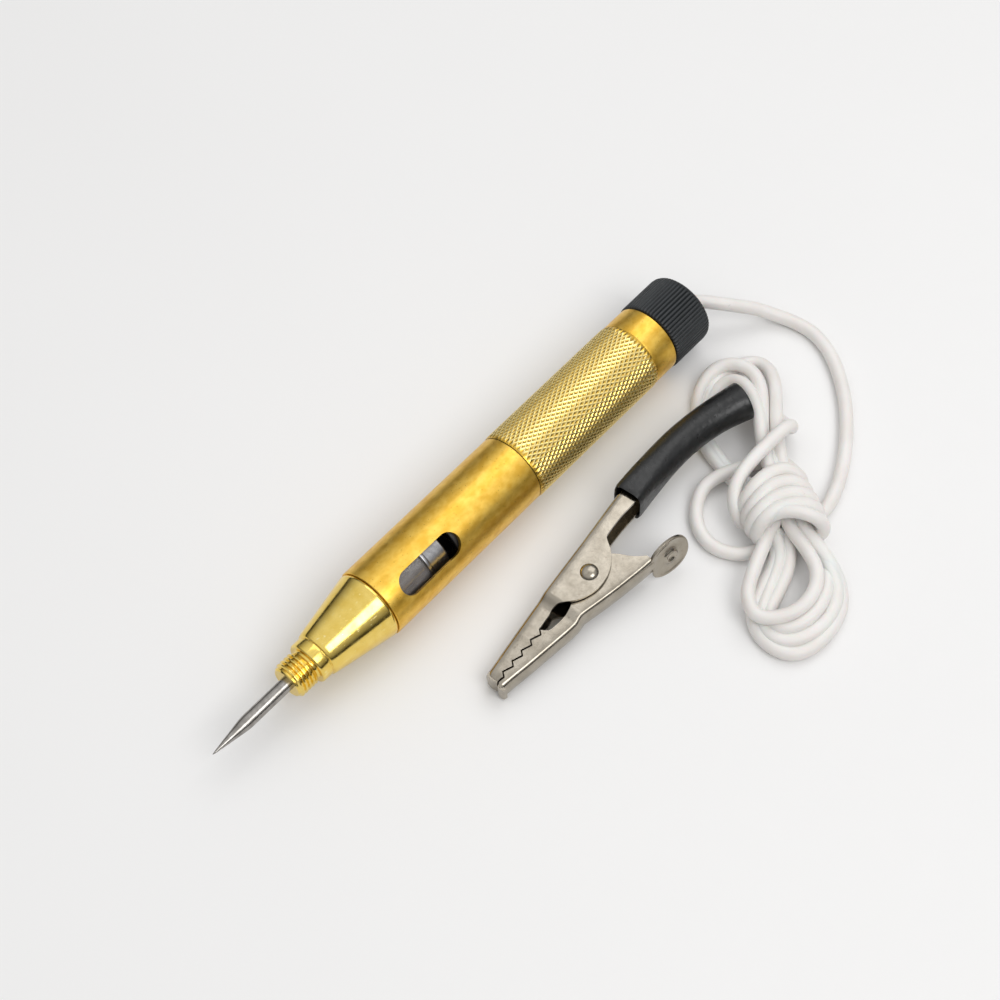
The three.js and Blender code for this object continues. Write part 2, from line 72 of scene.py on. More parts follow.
CLIP_PIVOT = (-6.2, 23.6, 4.02)
CLIP_TURN, CLIP_DIP = 2.4, 4.0
PLATE = 0.5


# ---- materials ----------------------------------------------------------------------
class Nodes:
    """A node material being put together. Every length in it is in millimetres."""

    def __init__(self, name):
        self.material = bpy.data.materials.new(name)
        self.material.use_nodes = True
        self.tree = self.material.node_tree
        self.shader = self.tree.nodes["Principled BSDF"]
        self.coords = self.node("ShaderNodeTexCoord").outputs["Object"]

    def node(self, kind, **settings):
        made = self.tree.nodes.new(kind)
        for key, value in settings.items():
            setattr(made, key, value)
        return made

    def link(self, output, target):
        self.tree.links.new(output, target)

    def per_mm(self, scale):
        """The place in the part, stretched so that one unit is 1/scale mm on each axis."""
        mapping = self.node("ShaderNodeMapping")
        mapping.inputs["Scale"].default_value = [s / MM for s in scale]
        self.link(self.coords, mapping.inputs["Vector"])
        return mapping.outputs["Vector"]

    def noise(self, scale, detail=3.0, roughness=0.55):
        made = self.node("ShaderNodeTexNoise")
        made.inputs["Scale"].default_value = 1.0
        made.inputs["Detail"].default_value = detail
        made.inputs["Roughness"].default_value = roughness
        self.link(self.per_mm(scale), made.inputs["Vector"])
        return made.outputs["Fac"]

    def spots(self, scale):
        made = self.node("ShaderNodeTexVoronoi")
        made.inputs["Scale"].default_value = 1.0
        self.link(self.per_mm(scale), made.inputs["Vector"])
        return made.outputs["Distance"]

    def ramp(self, value, low, high, to_low=0.0, to_high=1.0):
        made = self.node("ShaderNodeMapRange", clamp=True)
        for key, number in (("From Min", low), ("From Max", high), ("To Min", to_low), ("To Max", to_high)):
            made.inputs[key].default_value = number
        self.link(value, made.inputs["Value"])
        return made.outputs["Result"]

    def maths(self, operation, a, b):
        made = self.node("ShaderNodeMath", operation=operation)
        for socket, value in zip(made.inputs, (a, b)):
            if isinstance(value, (int, float)):
                socket.default_value = value
            else:
                self.link(value, socket)
        return made.outputs["Value"]

    def mix(self, factor, a, b):
        made = self.node("ShaderNodeMix", data_type="RGBA")
        self.link(factor, made.inputs["Factor"])
        for socket, value in ((made.inputs[6], a), (made.inputs[7], b)):
            if isinstance(value, tuple):
                socket.default_value = (*value, 1)
            else:
                self.link(value, socket)
        return made.outputs[2]

    def from_axis(self):
        """Distance from the barrel's axis."""
        shifted = self.node("ShaderNodeMapping")
        shifted.inputs["Location"].default_value = (0, 0, -AXIS_Z)
        shifted.inputs["Scale"].default_value = (0, 1 / MM, 1 / MM)
        self.link(self.coords, shifted.inputs["Vector"])
        length = self.node("ShaderNodeVectorMath", operation="LENGTH")
        self.link(shifted.outputs["Vector"], length.inputs[0])
        return length.outputs["Value"]

    def bump(self, *layers):
        """Layers of (height, depth in mm), one on the other."""
        normal = None
        for height, depth in layers:
            made = self.node("ShaderNodeBump")
            made.inputs["Strength"].default_value = 1.0
            made.inputs["Distance"].default_value = depth * MM
            self.link(height, made.inputs["Height"])
            if normal is not None:
                self.link(normal, made.inputs["Normal"])
            normal = made.outputs["Normal"]
        self.link(normal, self.shader.inputs["Normal"])

    def set(self, **values):
        for key, value in values.items():
            socket = self.shader.inputs[key.replace("_", " ")]
            if isinstance(value, (int, float)):
                socket.default_value = value
            elif isinstance(value, tuple):
                socket.default_value = (*value, 1)
            else:
                self.link(value, socket)
        return self


def satin_brass():
    n = Nodes("satin_brass")
    mottle = n.ramp(n.noise((0.5, 0.7, 0.7), 4), 0.36, 0.66)
    tone = n.mix(mottle, (0.76, 0.45, 0.06), (0.90, 0.59, 0.115))
    pits = n.ramp(n.spots((1.5, 1.5, 1.5)), 0.05, 0.16)
    rare = n.ramp(n.noise((0.9, 0.9, 0.9), 1), 0.50, 0.56)
    pitted = n.maths("MAXIMUM", pits, rare)
    grain = n.noise((3.0, 9.0, 9.0), 3)
    n.set(
        Base_Color=n.mix(pitted, (0.42, 0.22, 0.03), tone),
        Metallic=1.0,
        Roughness=n.ramp(n.noise((1.2, 1.2, 1.2), 3), 0.3, 0.7, 0.30, 0.42),
    )
    n.bump((pitted, 0.02), (grain, 0.006))
    return n.material


def knurled_brass():
    n = Nodes("knurled_brass")
    radius = n.from_axis()
    # Lighter towards the crests and darker in the hollows, by distance from the axis: partly worn bright
    # metal on the crests, partly painted highlight on the crests and painted shade in the hollows.
    crest = n.ramp(radius, KNURL_ROOT + 0.05, KNURL_CREST - 0.03)
    crest_wear_and_highlight = n.maths("MULTIPLY", crest, n.ramp(n.noise((1.6, 1.6, 1.6), 3), 0.25, 0.7, 0.65, 1.0))
    n.set(
        Base_Color=n.mix(crest_wear_and_highlight, (0.66, 0.41, 0.06), (0.97, 0.80, 0.34)),
        Metallic=1.0,
        Roughness=n.ramp(n.noise((3, 3, 3), 2), 0.3, 0.7, 0.20, 0.34),
    )
    n.bump((n.noise((6, 6, 6), 3), 0.006))
    return n.material


def polished_brass():
    n = Nodes("polished_brass")
    tone = n.mix(n.ramp(n.noise((0.5, 0.5, 0.5), 3), 0.3, 0.7), (0.82, 0.58, 0.12), (0.91, 0.69, 0.20))
    turning = n.noise((7.0, 0.5, 0.5), 2)  # fine rings left by the lathe
    scratch = n.ramp(n.noise((0.6, 2.4, 2.4), 4, 0.7), 0.64, 0.68)
    n.set(
        Base_Color=n.mix(scratch, tone, (0.98, 0.88, 0.45)),
        Metallic=1.0,
        Roughness=n.ramp(n.noise((1, 2, 2), 3), 0.3, 0.7, 0.10, 0.19),
    )
    n.bump((turning, 0.0035), (scratch, 0.004))
    return n.material


def steel(name, low, high, rough, grain, depth):
    n = Nodes(name)
    blotch = n.ramp(n.noise((0.8, 0.8, 0.8), 4), 0.32, 0.68)
    fine = n.noise(grain, 3)
    n.set(
        Base_Color=n.mix(blotch, low, high),
        Metallic=1.0,
        Roughness=n.ramp(fine, 0.3, 0.7, *rough),
    )
    n.bump((fine, depth))
    return n.material


def nickel():
    n = Nodes("nickel_plate")
    blotch = n.ramp(n.noise((0.35, 0.35, 0.35), 4), 0.34, 0.68)
    fine = n.noise((9, 9, 9), 3)
    stain = n.ramp(n.noise((1.1, 1.1, 1.1), 5, 0.65), 0.60, 0.72)
    tone = n.mix(blotch, (0.33, 0.295, 0.24), (0.44, 0.40, 0.335))
    n.set(
        Base_Color=n.mix(stain, tone, (0.30, 0.26, 0.21)),
        Metallic=1.0,
        Roughness=n.ramp(n.noise((1.5, 1.5, 1.5), 4), 0.3, 0.7, 0.14, 0.24),
    )
    n.bump((fine, 0.005), (n.noise((0.7, 0.7, 0.7), 2), 0.014))
    return n.material


def lamp_glass():
    n = Nodes("lamp_glass")
    n.set(
        Base_Color=n.mix(
            n.ramp(n.noise((0.12, 0.9, 0.9), 3), 0.35, 0.65), (0.52, 0.49, 0.48), (0.86, 0.84, 0.83)
        ),
        Roughness=n.ramp(n.noise((0.8, 0.8, 0.8), 3), 0.35, 0.7, 0.01, 0.05),
        IOR=1.48,
        Transmission_Weight=0.72,
    )
    n.bump((n.noise((0.4, 0.4, 0.4), 1), 0.01))
    return n.material


def moulded(name, dark, light, rough, grain, depth, ribs=False):
    n = Nodes(name)
    tone = n.mix(n.ramp(n.noise((0.4, 0.4, 0.4), 3), 0.3, 0.7), dark, light)
    fine = n.noise((grain, grain, grain), 3)
    if ribs:
        # Every face nearer the axis than the rib crests, the grooves between the ribs among them, is
        # painted darker: painted shade.
        crest = n.ramp(n.from_axis(), CAP_R - RIB_DEPTH, CAP_R - 0.04)
        tone = n.mix(crest, tuple(v * 0.6 for v in dark), tone)
    n.set(
        Base_Color=tone,
        Roughness=n.ramp(n.noise((1.4, 1.4, 1.4), 3), 0.3, 0.7, *rough),
    )
    n.bump((fine, depth))
    return n.material


def white_pvc():
    n = Nodes("white_pvc")
    tone = n.mix(n.ramp(n.noise((0.15, 0.15, 0.15), 3), 0.3, 0.7), (0.80, 0.765, 0.73), (0.86, 0.84, 0.815))
    smudge = n.ramp(n.noise((0.55, 0.9, 0.9), 5, 0.7), 0.665, 0.75, 0.0, 0.45)
    n.set(
        Base_Color=n.mix(smudge, tone, (0.36, 0.32, 0.29)),
        Roughness=n.ramp(n.noise((1.2, 1.2, 1.2), 3), 0.3, 0.7, 0.36, 0.50),
        Subsurface_Weight=0.12,
        Subsurface_Scale=0.0012,
    )
    n.bump((n.noise((4, 4, 4), 3), 0.010), (n.noise((0.5, 0.5, 0.5), 2), 0.05))
    return n.material


def copper():
    n = Nodes("stranded_copper")
    strand = n.node("ShaderNodeTexWave", bands_direction="DIAGONAL")
    strand.inputs["Scale"].default_value = 1.6
    n.link(n.per_mm((1, 1, 1)), strand.inputs["Vector"])
    lay = strand.outputs["Fac"]
    n.set(
        Base_Color=n.mix(lay, (0.50, 0.20, 0.10), (0.80, 0.44, 0.27)),
        Metallic=1.0,
        Roughness=n.ramp(n.noise((2, 2, 2)), 0.3, 0.7, 0.25, 0.4),
    )
    n.bump((lay, 0.05))
    return n.material


def floor_white():
    n = Nodes("studio_floor")
    tone = n.mix(n.noise((0.01, 0.01, 0.01), 2), (0.86, 0.855, 0.85), (0.89, 0.885, 0.88))
    n.set(Base_Color=tone, Roughness=n.ramp(n.noise((0.2, 0.2, 0.2)), 0.3, 0.7, 0.55, 0.65))
    n.bump((n.noise((0.5, 0.5, 0.5), 2), 0.01))
    return n.material


MATERIALS = {
    "satin_brass": satin_brass(),
    "knurled_brass": knurled_brass(),
    "polished_brass": polished_brass(),
    "needle_steel": steel(
        "needle_steel", (0.27, 0.255, 0.235), (0.42, 0.40, 0.375), (0.16, 0.26), (2.0, 8, 8), 0.006
    ),
    "spring_steel": steel(
        "spring_steel", (0.35, 0.34, 0.32), (0.55, 0.54, 0.52), (0.2, 0.35), (6, 6, 6), 0.004
    ),
    "tungsten": steel("tungsten", (0.22, 0.21, 0.20), (0.34, 0.33, 0.31), (0.4, 0.6), (9, 9, 9), 0.003),
    "lamp_metal": steel(
        "lamp_metal", (0.28, 0.28, 0.29), (0.48, 0.48, 0.49), (0.25, 0.42), (4, 4, 4), 0.008
    ),
    "nickel": nickel(),
    "lamp_glass": lamp_glass(),
    "black_plastic": moulded(
        "black_plastic", (0.010, 0.013, 0.015), (0.018, 0.022, 0.025), (0.38, 0.50), 8, 0.012, ribs=True
    ),
    "liner_black": moulded(
        "liner_black", (0.012, 0.012, 0.013), (0.02, 0.02, 0.021), (0.4, 0.55), 6, 0.01
    ),
    "black_rubber": moulded(
        "black_rubber", (0.004, 0.0045, 0.005), (0.009, 0.0095, 0.010), (0.26, 0.42), 0.7, 0.12
    ),
    "fibre": moulded("red_fibre", (0.20, 0.06, 0.035), (0.30, 0.10, 0.06), (0.7, 0.85), 5, 0.03),
    "copper": copper(),
    "white_pvc": white_pvc(),
}


# ---- mesh helpers -------------------------------------------------------------------
def add_mesh(name, points, faces, material, sharp=35.0):
    """A mesh object from points in millimetres, smooth but for edges over `sharp` degrees."""
    mesh = bpy.data.meshes.new(name)
    mesh.from_pydata([tuple(c * MM for c in p) for p in points], [], faces)
    mesh.update()
    made = bpy.data.objects.new(name, mesh)
    bpy.context.scene.collection.objects.link(made)
    mesh.materials.append(MATERIALS[material])
    mesh.shade_smooth()
    mesh.set_sharp_from_angle(angle=math.radians(sharp))
    return made


def softened(profile, radius, closed=False):
    """The profile with each corner cut by a small arc, no wider than radius."""
    out = []
    count = len(profile)
    for i, point in enumerate(profile):
        if not closed and i in (0, count - 1):
            out.append(point)
            continue
        p = np.array(point, float)
        a = np.array(profile[i - 1], float) - p
        b = np.array(profile[(i + 1) % count], float) - p
        la, lb = np.linalg.norm(a), np.linalg.norm(b)
        cut = min(radius, 0.4 * la, 0.4 * lb)
        for t in (0.0, 0.35, 0.65, 1.0):
            q = p + (1 - t) ** 2 * a / la * cut + t**2 * b / lb * cut
            out.append(tuple(q))
    return out


def turned(name, profile, material, sides=96, relief=None, sharp=35.0):
    """A body turned about the barrel's axis from (x, radius) points."""
    points, faces = [], []
    poles = {}
    for i, (x, r) in enumerate(profile):
        if r < 1e-6:
            poles[i] = len(points)
            points.append((x, 0, AXIS_Z))
            continue
        for k in range(sides):
            a = 2 * math.pi * k / sides
            d = r + (relief(x, r, a) if relief else 0.0)
            points.append((x, d * math.sin(a), AXIS_Z + d * math.cos(a)))
    starts, at = [], 0
    for i in range(len(profile)):
        starts.append(at)
        at += 1 if i in poles else sides
    pairs = [(i, i + 1) for i in range(len(profile) - 1)]
    if profile[0][1] > 1e-6 and profile[-1][1] > 1e-6:
        pairs.append((len(profile) - 1, 0))
    for i, j in pairs:
        for k in range(sides):
            m = (k + 1) % sides
            if i in poles and j in poles:
                continue
            if i in poles:
                faces.append((starts[i], starts[j] + k, starts[j] + m))
            elif j in poles:
                faces.append((starts[i] + k, starts[j], starts[i] + m))
            else:
                faces.append((starts[i] + k, starts[j] + k, starts[j] + m, starts[i] + m))
    made = add_mesh(name, points, faces, material, sharp)
    face_outwards(made)
    return made


def face_outwards(made):
    """Turns the faces so that they all look out of the body."""
    work = bmesh.new()
    work.from_mesh(made.data)
    bmesh.ops.recalc_face_normals(work, faces=work.faces)
    work.to_mesh(made.data)
    work.free()


def bevelled(made, width, segments=2, angle=30.0):
    """A small rounding on the sharp edges, so that they catch the light."""
    bevel = made.modifiers.new("edge", "BEVEL")
    bevel.width = width * MM
    bevel.segments = segments
    bevel.limit_method = "ANGLE"
    bevel.angle_limit = math.radians(angle)
    bevel.harden_normals = True
    return made


def keep(made, body, slot, *nodes):
    """The finished piece rides on its body, and stands for these CAD nodes."""
    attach(made, body)
    if nodes:
        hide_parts(*nodes)
    return made


def spline(points, step):
    """A centripetal curve through the points, with a point about every step."""
    p = [np.array(q, float) for q in points]
    p = [2 * p[0] - p[1], *p, 2 * p[-1] - p[-2]]
    out = []
    for a, b, c, d in zip(p, p[1:], p[2:], p[3:]):
        t0, t1 = 0.0, np.linalg.norm(b - a) ** 0.5
        t2 = t1 + np.linalg.norm(c - b) ** 0.5
        t3 = t2 + np.linalg.norm(d - c) ** 0.5
        for t in np.linspace(t1, t2, max(2, math.ceil(np.linalg.norm(c - b) / step) + 1))[:-1]:
            ab = (t1 - t) / (t1 - t0) * a + (t - t0) / (t1 - t0) * b
            bc = (t2 - t) / (t2 - t1) * b + (t - t1) / (t2 - t1) * c
            cd = (t3 - t) / (t3 - t2) * c + (t - t2) / (t3 - t2) * d
            abc = (t2 - t) / (t2 - t0) * ab + (t - t0) / (t2 - t0) * bc
            bcd = (t3 - t) / (t3 - t1) * bc + (t - t1) / (t3 - t1) * cd
            out.append((t2 - t) / (t2 - t1) * abc + (t - t1) / (t2 - t1) * bcd)
    out.append(p[-2])
    return np.array(out)


def evened(line, step):
    along = np.concatenate([[0], np.cumsum(np.linalg.norm(np.diff(line, axis=0), axis=1))])
    at = np.linspace(0, along[-1], math.ceil(along[-1] / step) + 1)
    return np.stack([np.interp(at, along, line[:, k]) for k in range(3)], axis=1)


def wire(name, line, radius, material, resolution=4, place=None):
    """A round wire along a line in millimetres, as one open curve."""
    curve = bpy.data.curves.new(name, "CURVE")
    curve.dimensions = "3D"
    curve.bevel_depth = radius * MM
    curve.bevel_resolution = resolution
    curve.use_fill_caps = True
    made = curve.splines.new("POLY")
    made.points.add(len(line) - 1)
    for point, q in zip(made.points, line):
        v = Vector([float(c) * MM for c in q])
        point.co = (*(place @ v if place else v), 1)
    made.use_smooth = True
    curve.materials.append(MATERIALS[material])
    shown = bpy.data.objects.new(name, curve)
    bpy.context.scene.collection.objects.link(shown)
    return shown


# ---- probe, nose and barrel ---------------------------------------------------------
def probe_needle():
    taper = TIP_X - NEEDLE_TAPER
    profile = [(28.2, 0), (28.2, NEEDLE_R), (taper - 0.3, NEEDLE_R), (taper, NEEDLE_R - 0.02)]
    profile += [(taper + 6.6 * t, NEEDLE_R - 1.0 * t ** 1.05) for t in np.linspace(0.06, 1, 14)]
    profile += [(TIP_X - 0.55, 0.17), (TIP_X - 0.18, 0.09), (TIP_X, 0)]
    return keep(
        turned("probe_pin", profile, "needle_steel", 64, sharp=25), "nose", "needle_steel", "probe_needle"
    )


def nose_cone():
    front = [(BOSS_X, NEEDLE_R + 0.02), (BOSS_X, THREAD_ROOT - 0.15), (BOSS_X - 0.2, THREAD_ROOT)]
    thread_end, rings = 38.6, 86
    boss = [
        (BOSS_X - 0.2 - (BOSS_X - 0.2 - thread_end) * i / rings, THREAD_ROOT) for i in range(1, rings + 1)
    ]
    shoulder = softened(
        [(thread_end, THREAD_ROOT), (38.2, THREAD_ROOT + 0.1), (38.2, 3.8), (37.95, 4.0), (36.2, 4.0),
         (35.95, 3.92), (35.85, 4.22), (35.2, 4.42), (SEAM_X + 0.6, BARREL_R - 0.14),
         (SEAM_X + 0.1, BARREL_R - 0.3), (SEAM_X + 0.1, 5.6)], 0.12)
    inside = [(19.8, 5.6), (19.8, 5.0), (28.6, 5.0), (28.6, 3.4), (29.6, 3.4), (29.6, NEEDLE_R + 0.02)]

    def thread(x, r, angle):
        if not thread_end < x < BOSS_X - 0.1 or r > THREAD_ROOT + 0.01:
            return 0.0
        turn = (x / THREAD_PITCH - angle / (2 * math.pi)) % 1.0
        height = min(1.0, max(0.0, 1.55 - 3.1 * abs(turn - 0.5) * 1.2))
        fade = min(1.0, (BOSS_X - 0.15 - x) / 0.5, (x - thread_end) / 0.5)
        return (THREAD_CREST - THREAD_ROOT) * height * max(0.0, fade)

    made = turned("nose_body", front + boss + shoulder[1:] + inside, "polished_brass", 144, thread, 40)
    return keep(made, "nose", "polished_brass", "nose_cone")


def window_cutter():
    """A rounded slot through the barrel's wall, at the window's turn."""
    half = WINDOW_W / 2
    length = WINDOW_X[1] - WINDOW_X[0]
    outline = []
    for centre, start in ((length - half, -90), (half, 90)):
        for k in range(33):
            t = math.radians(start + 180 * k / 32)
            outline.append((centre + half * math.cos(t), half * math.sin(t)))
    points = [(WINDOW_X[0] + u, v, w) for w in (3.0, 9.0) for u, v in outline]
    n = len(outline)
    faces = [tuple(range(n))[::-1], tuple(range(n, 2 * n))]
    faces += [(i, (i + 1) % n, n + (i + 1) % n, n + i) for i in range(n)]
    made = add_mesh("window_cutter", points, faces, "satin_brass")
    turn = Matrix.Translation((0, 0, AXIS_Z * MM)) @ Matrix.Rotation(math.radians(-WINDOW_TURN), 4, "X")
    made.data.transform(turn)
    return made


def barrel():
    profile = softened(
        [(SEAM_X, BORE_R), (SEAM_X, BARREL_R - 0.1), (SEAM_X - 0.1, BARREL_R), (KNURL_X[1] + 0.2, BARREL_R),
         (KNURL_X[1], KNURL_ROOT - 0.13), (KNURL_X[0], KNURL_ROOT - 0.13), (KNURL_X[0] - 0.2, BARREL_R),
         (CAP_X + 0.3, BARREL_R), (CAP_X + 0.1, BARREL_R - 0.2), (CAP_X + 0.1, BORE_R)], 0.06, closed=True)
    shell = turned("barrel_raw", profile, "satin_brass", 192)
    cutter = window_cutter()
    cut = shell.modifiers.new("window", "BOOLEAN")
    cut.object = cutter
    cut.operation = "DIFFERENCE"
    cut.solver = "EXACT"
    mesh = bpy.data.meshes.new_from_object(shell.evaluated_get(bpy.context.evaluated_depsgraph_get()))
    mesh.name = "barrel_shell"
    made = bpy.data.objects.new("barrel_shell", mesh)
    bpy.context.scene.collection.objects.link(made)
    for scrap in (shell, cutter):
        bpy.data.objects.remove(scrap)
    mesh.set_sharp_from_angle(angle=math.radians(35))
    bevelled(made, 0.2, 3, 50)
    return keep(made, "tester", "satin_brass", "barrel")


def knurl():
    """Two families of helical crests with small diamond hollows between them."""
    cells = round((KNURL_X[1] - KNURL_X[0]) / (KNURL_PITCH / 2))
    around = 2 * KNURL_STARTS
    step = (KNURL_X[1] - KNURL_X[0]) / cells
    points, faces = [], []
    for i in range(cells + 1):
        edge = i in (0, cells)
        for k in range(around):
            a = 2 * math.pi * k / around
            crest = (i + k) % 2 == 0 and not edge
            r = KNURL_CREST if crest else KNURL_ROOT
            points.append((KNURL_X[0] + i * step, r * math.sin(a), AXIS_Z + r * math.cos(a)))
    for i in range(cells):
        for k in range(around):
            m = (k + 1) % around
            a, b = i * around + k, i * around + m
            c, d = (i + 1) * around + m, (i + 1) * around + k
            if (i + k) % 2 == 0:  # the crest runs from a to c
                faces += [(a, b, c), (a, c, d)]
            else:
                faces += [(a, b, d), (b, c, d)]
    made = add_mesh("barrel_knurl", points, faces, "knurled_brass", 12)
    face_outwards(made)
    bevel = made.modifiers.new("crest_wear_and_highlight", "BEVEL")
    bevel.width = 0.055 * MM
    bevel.segments = 1
    bevel.limit_method = "ANGLE"
    bevel.angle_limit = math.radians(45)
    return keep(made, "tester", "satin_brass")


def lamp():
    rear, front = LAMP_X
    tube = [(rear + 0.85, LAMP_R - 0.5), (rear + 0.85, LAMP_R), (front - 0.85, LAMP_R),
            (front - 0.85, LAMP_R - 0.5)]
    glass = turned("lamp_tube", softened(tube, 0.1, True), "lamp_glass", 96)
    keep(glass, "lamp", "lamp_glass", "lamp_glass")
    inner = LAMP_R + 0.1
    back = [(rear, 0), (rear, LAMP_CAP_R - 0.3), (rear + 0.3, LAMP_CAP_R), (11.75, LAMP_CAP_R),
            (12.0, 4.82), (12.5, 4.82), (12.5, inner), (rear + 0.55, inner), (rear + 0.55, 0)]
    cap_back = turned("lamp_cap_back", softened(back, 0.12), "lamp_metal", 96)
    keep(cap_back, "lamp", "nickel", "lamp_rear_cap")
    nose = [(front, 0), (front, 1.4), (front - 0.5, 1.9), (front - 0.5, LAMP_CAP_R - 0.2),
            (front - 0.7, LAMP_CAP_R), (21.9, LAMP_CAP_R), (21.9, inner), (front - 0.75, inner),
            (front - 0.75, 0)]
    cap_front = turned("lamp_cap_front", softened(nose, 0.12), "lamp_metal", 96)
    keep(cap_front, "lamp", "nickel", "lamp_front_cap")
    turns, per = 11, 16
    coil = [
        (14.6 + 3.8 * i / (turns * per), 0.42 * math.sin(2 * math.pi * i / per),
         AXIS_Z + 0.42 * math.cos(2 * math.pi * i / per))
        for i in range(turns * per + 1)
    ]
    keep(wire("lamp_coil", coil, 0.06, "tungsten", 2), "lamp", "tungsten", "lamp_filament")
    for name, x, node in (
        ("lamp_wire_back", (8.9, 11.8, 14.6), "lamp_lead_rear"),
        ("lamp_wire_front", (25.2, 21.8, 18.4), "lamp_lead_front"),
    ):
        ends = [(x[0], 0, AXIS_Z), (x[1], 0.4, AXIS_Z), (x[2], 0, AXIS_Z + 0.42)]
        keep(wire(name, spline(ends, 0.2), 0.13, "nickel", 3), "lamp", "nickel", node)


def liner():
    profile = [(6.3, 5.05), (6.3, 5.6), (-20, 5.6), (-20, 2.6), (-13.6, 2.6), (-13.6, 5.05)]
    made = turned("liner_tube", softened(profile, 0.15, True), "liner_black", 96)
    return keep(made, "tester", "black_plastic", "insulating_liner")


def end_cap():
    hole = CORD_R + 0.35
    # The hole opens towards the end face, so that the cap can slide back over the curving lead.
    flared = [(REAR_X + 2.3, hole), (REAR_X + 1.2, hole + 0.55), (REAR_X + 0.3, hole + 1.15),
              (REAR_X, hole + 1.35)]
    outside = [*flared, (REAR_X, 5.75), (REAR_X + 0.12, 6.2), (REAR_X + 0.4, 6.6),
               (REAR_X + 0.85, 6.85), (REAR_X + 1.5, CAP_R)]
    ribbed = [(REAR_X + 1.5 + 0.6 * i, CAP_R) for i in range(1, 13)]
    seat = [(CAP_X - 0.3, CAP_R), (CAP_X - 0.08, 6.8), (CAP_X, 6.55), (CAP_X, 5.6), (-44.6, 5.6),
            (-44.6, 4.3), (-57.2, 4.3), (-57.2, hole)]

    def ribs(x, r, angle):
        if r < 6.5 or x > CAP_X - 0.05:
            return 0.0
        turn = (angle / (2 * math.pi) * CAP_RIBS) % 1.0
        rise = min(1.0, max(0.0, 1.5 - 3.2 * abs(turn - 0.5) * 1.25 + 0.35))
        fade = min(1.0, (x - REAR_X) / 0.9)
        return -RIB_DEPTH * (1 - rise) * fade

    made = turned("grip_cap", outside + ribbed + seat, "black_plastic", 8 * CAP_RIBS, ribs, 40)
    return keep(made, "cap", "black_plastic", "end_cap")


# ---- crocodile clip -----------------------------------------------------------------
# Its own frame: u towards the mouth, v across, w along the rivet.
CLIP = Matrix.Translation([c * MM for c in CLIP_PIVOT]) @ Euler(
    (0, math.radians(CLIP_DIP), math.radians(CLIP_TURN)), "XYZ"
).to_matrix().to_4x4()

FIXED_BACK = [
    (24.8, -2.1), (24.3, -2.2), (20.3, -2.65), (15.9, -3.1), (11.3, -3.55), (9.1, -3.75),
    (7.6, -3.85), (2.8, -4.2), (-3.2, -4.6), (-9.4, -5.1), (-15.4, -5.6), (-21, -5.5),
    (-24.5, -5.3),
]
FIXED_EDGE = [
    (12.4, -0.4), (11.6, -0.55), (10, -0.65), (9.1, -1.0), (7.9, -0.7), (7.5, -0.4), (6.9, 0.2),
    (6.3, 0.8), (5.7, 1.35), (5.0, 1.85), (4.1, 2.3), (3.2, 2.65), (2.2, 2.95), (1.1, 3.1),
    (0.2, 3.1), (-0.8, 2.95), (-1.6, 2.8), (-2.4, 2.5), (-3.3, 2.1), (-4.1, 1.6), (-5.0, 0.9),
    (-5.8, 0.1), (-6.3, -0.7), (-6.7, -1.35), (-7.2, -1.9), (-9, -2.1), (-12, -2.25), (-16.7, -2.1),
    (-21, -2.6), (-24.5, -2.9),
]
FIXED_HALF = [
    (24.8, 1.7), (24.3, 2.2), (9.1, 2.2), (7.5, 3.2), (-12, 3.2), (-15.4, 3.0), (-18, 2.6),
    (-20.5, 1.9), (-24.5, 1.6),
]
MOVING_BACK = [
    (25.4, 1.5), (25.0, 1.6), (23.1, 1.85), (19.3, 2.55), (14.8, 3.25), (10.3, 3.95), (8.4, 4.15),
    (7.4, 3.95), (6.6, 3.9), (5.3, 4.2), (2.2, 4.95), (-1, 5.65), (-5.5, 6.5), (-8.3, 6.95),
    (-8.8, 7.05),
]
MOVING_EDGE = [
    (12.4, 1.15), (10.5, 1.45), (9.1, 1.55), (8.3, 1.55), (6.9, 1.3), (6.1, 1.0), (5.2, 0.1),
    (4.3, -0.9), (3.4, -1.9), (2.4, -2.6), (1.2, -3.0), (0, -3.15), (-1.2, -3.0), (-2.2, -2.6),
    (-3.2, -1.9), (-4.1, -0.9), (-4.9, 0.0), (-5.6, 0.8), (-6.3, 1.8), (-6.9, 3.3), (-7.9, 4.6),
    (-8.8, 5.6),
]
MOVING_HALF = [
    (25.4, 1.8), (25.0, 2.2), (8.4, 2.2), (7.2, 2.4), (-8.8, 2.4),
]
TOOTH_PITCH = 2.45
TOOTH_COUNT = 5


def tooth_line(shift):
    """Points (u, v) of the saw teeth, from the tip back."""
    line = []
    for i in range(TOOTH_COUNT):
        line += [(23.6 - TOOTH_PITCH * i, 0.3 + shift), (22.95 - TOOTH_PITCH * i, -0.45 + shift)]
    return line


def straight(table, u):
    us = [p[0] for p in table][::-1]
    return float(np.interp(u, us, [p[1] for p in table][::-1]))


def eased(table, u):
    """The table's value at u, with its corners rounded over about 0.9 mm."""
    weights = ((-0.45, 1), (-0.22, 2), (0, 3), (0.22, 2), (0.45, 1))
    return sum(straight(table, u + d) * k for d, k in weights) / 9


def rounded_line(line, times=2):
    """The open line with its corners cut off, each end kept."""
    for _ in range(times):
        cut = [line[0]]
        for a, b in zip(line, line[1:]):
            a, b = np.array(a), np.array(b)
            cut += [tuple(0.75 * a + 0.25 * b), tuple(0.25 * a + 0.75 * b)]
        line = cut + [line[-1]]
    return line


